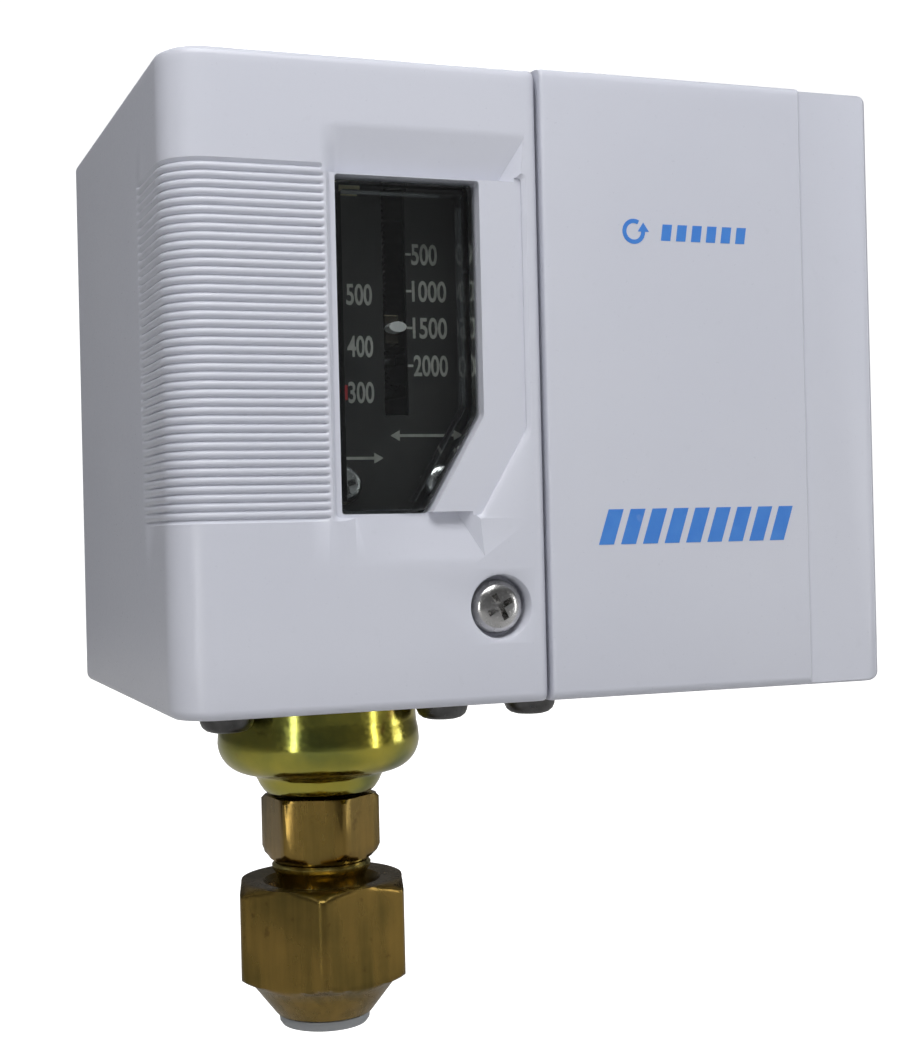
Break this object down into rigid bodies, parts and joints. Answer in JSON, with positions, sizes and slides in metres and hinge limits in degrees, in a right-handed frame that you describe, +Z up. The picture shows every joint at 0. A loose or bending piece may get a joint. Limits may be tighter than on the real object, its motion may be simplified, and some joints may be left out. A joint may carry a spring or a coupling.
{
  "type": "pressure switch",
  "caption": "Refrigeration pressure switch: moulded split case with a scale window, bellows element and flare nut below, adjusters, levers, snap switch and terminals inside.",
  "frame": {"origin": "centre of the chassis back plate's rear face, which lies on the wall", "axes": "+X to the right seen from the front, +Y towards the wall, +Z up; the flare connection points down"},
  "size_m": [0.0778, 0.0555, 0.0984],
  "materials": {
    "cover_plastic": "moulded, light grey with a cool tint",
    "window_clear": "clear moulded lens",
    "zinc_steel": "zinc plated sheet",
    "screw_steel": "bright nickel plated screws",
    "yellow_zinc": "yellow chromate over pressed steel",
    "brass": "machined brass",
    "bronze": "phosphor bronze",
    "spring_steel": "drawn wire",
    "dial_black": "painted scale plate with white marks",
    "bakelite": "moulded phenolic",
    "white_plastic": "pointer",
    "red_plastic": "pointer and button",
    "grey_plastic": "soft plug",
    "rubber": "moulded bush",
    "fibre": "insulating sheet",
    "earth_green": "green earth screw"
  },
  "bodies": {
    "case": {"chassis": "zinc_steel", "cover_bracket": "zinc_steel", "bellows_cup": "yellow_zinc", "element_flange": "yellow_zinc", "bracket_screw": "screw_steel", "bellows": "bronze", "flare_union": "brass", "lever_pin": "spring_steel", "diff_lever_pin": "spring_steel", "range_spring": "spring_steel", "diff_spring": "spring_steel", "scale_plate": "dial_black", "scale_screw_1": "screw_steel", "scale_screw_2": "screw_steel", "switch_body": "bakelite", "switch_screw_1": "screw_steel", "switch_screw_2": "screw_steel", "terminal_block": "bakelite", "switch_plate": "zinc_steel", "plate_screw_1": "screw_steel", "plate_screw_2": "screw_steel", "insulating_sheet": "fibre", "cable_grommet": "rubber", "earth_screw": "earth_green", "earth_washer": "brass", "element_screw_1": "screw_steel", "element_screw_2": "screw_steel", "element_screw_3": "screw_steel", "element_screw_4": "screw_steel", "terminal_plate_1": "brass", "contact_link_1": "brass", "terminal_plate_2": "brass", "contact_link_2": "brass", "terminal_plate_3": "brass", "contact_link_3": "brass"},
    "window_cover_shell": {"window_cover": "cover_plastic", "window_pane": "window_clear"},
    "captive_ring": {"captive_ring": "spring_steel"},
    "cover_screw": {"cover_screw": "screw_steel"},
    "terminal_cover_shell": {"terminal_cover": "cover_plastic"},
    "range_screw": {"range_screw": "screw_steel"},
    "range_seat": {"range_seat": "brass", "range_pointer": "white_plastic"},
    "diff_screw": {"diff_screw": "screw_steel"},
    "diff_seat": {"diff_seat": "brass", "diff_pointer": "red_plastic"},
    "main_lever": {"main_lever": "zinc_steel"},
    "diff_lever": {"diff_lever": "zinc_steel"},
    "push_rod": {"push_rod": "brass", "bellows_cap": "brass"},
    "switch_button": {"switch_button": "red_plastic"},
    "dust_plug": {"dust_plug": "grey_plastic"},
    "flare_nut": {"flare_nut": "brass"},
    "terminal_screw_1": {"terminal_screw_1": "screw_steel"},
    "terminal_screw_2": {"terminal_screw_2": "screw_steel"},
    "terminal_screw_3": {"terminal_screw_3": "screw_steel"}
  },
  "joints": [
    {"name": "window_cover_lift", "type": "slide", "parent": "case", "child": "window_cover_shell", "axis": [0, -1, 0], "range_m": [0, 0.08]},
    {"name": "cover_screw_travel", "type": "slide", "parent": "window_cover_shell", "child": "captive_ring", "axis": [0, -1, 0], "range_m": [0, 0.0035]},
    {"name": "cover_screw_turn", "type": "hinge", "parent": "captive_ring", "child": "cover_screw", "pos_m": [-0.0061, -0.0505, -0.0223], "axis": [0, -1, 0], "range_deg": [0, 2520]},
    {"name": "terminal_cover_lift", "type": "slide", "parent": "case", "child": "terminal_cover_shell", "axis": [0, -1, 0], "range_m": [0, 0.08]},
    {"name": "range_screw_turn", "type": "hinge", "parent": "case", "child": "range_screw", "pos_m": [-0.0137, -0.0375, 0.028], "axis": [0, 0, 1], "range_deg": [-2057.1, 3960]},
    {"name": "range_seat_travel", "type": "slide", "parent": "case", "child": "range_seat", "axis": [0, 0, 1], "range_m": [-0.0041, 0.0078], "deforming": ["range_spring"]},
    {"name": "diff_screw_turn", "type": "hinge", "parent": "case", "child": "diff_screw", "pos_m": [-0.024, -0.0375, 0.028], "axis": [0, 0, 1], "range_deg": [-1728, 6480]},
    {"name": "diff_seat_travel", "type": "slide", "parent": "case", "child": "diff_seat", "axis": [0, 0, 1], "range_m": [-0.0025, 0.0091], "deforming": ["diff_spring"]},
    {"name": "main_lever_swing", "type": "hinge", "parent": "case", "child": "main_lever", "pos_m": [-0.0319, -0.0375, -0.0126], "axis": [0, -1, 0], "range_deg": [-1, 1.5], "stiffness_Nm_per_rad": 1.2},
    {"name": "diff_lever_swing", "type": "hinge", "parent": "case", "child": "diff_lever", "pos_m": [-0.0079, -0.0375, -0.0071], "axis": [0, -1, 0], "range_deg": [-3.4, 5.1]},
    {"name": "push_rod_stroke", "type": "slide", "parent": "case", "child": "push_rod", "axis": [0, 0, 1], "range_m": [-0.00025, 0.00035], "deforming": ["bellows"]},
    {"name": "switch_button_press", "type": "slide", "parent": "case", "child": "switch_button", "axis": [0, 0, 1], "range_m": [-0.0008, 0.0012]},
    {"name": "nut_travel", "type": "slide", "parent": "case", "child": "dust_plug", "axis": [0, 0, -1], "range_m": [0, 0.0102]},
    {"name": "nut_spin", "type": "hinge", "parent": "dust_plug", "child": "flare_nut", "pos_m": [-0.0202, -0.0375, -0.058], "axis": [0, 0, -1], "range_deg": [0, 2880]},
    {"name": "terminal_screw_1_turn", "type": "hinge", "parent": "case", "child": "terminal_screw_1", "pos_m": [0.0113, -0.0475, 0.0196], "axis": [0, -1, 0], "range_deg": [0, 1440]},
    {"name": "terminal_screw_2_turn", "type": "hinge", "parent": "case", "child": "terminal_screw_2", "pos_m": [0.0206, -0.0475, 0.0196], "axis": [0, -1, 0], "range_deg": [0, 1440]},
    {"name": "terminal_screw_3_turn", "type": "hinge", "parent": "case", "child": "terminal_screw_3", "pos_m": [0.0299, -0.0475, 0.0196], "axis": [0, -1, 0], "range_deg": [0, 1440]}
  ],
  "couplings": [
    {"joint": "cover_screw_travel", "follows": "cover_screw_turn", "m_per_rad": 0.000079577},
    {"joint": "range_seat_travel", "follows": "range_screw_turn", "m_per_rad": 0.00011141},
    {"joint": "diff_seat_travel", "follows": "diff_screw_turn", "m_per_rad": 0.000079577},
    {"joint": "diff_lever_swing", "follows": "main_lever_swing", "ratio": 3.1818},
    {"joint": "push_rod_stroke", "follows": "main_lever_swing", "m_per_rad": 0.0117},
    {"joint": "switch_button_press", "follows": "main_lever_swing", "m_per_rad": 0.0414},
    {"joint": "nut_travel", "follows": "nut_spin", "m_per_rad": 0.00020213}
  ]
}
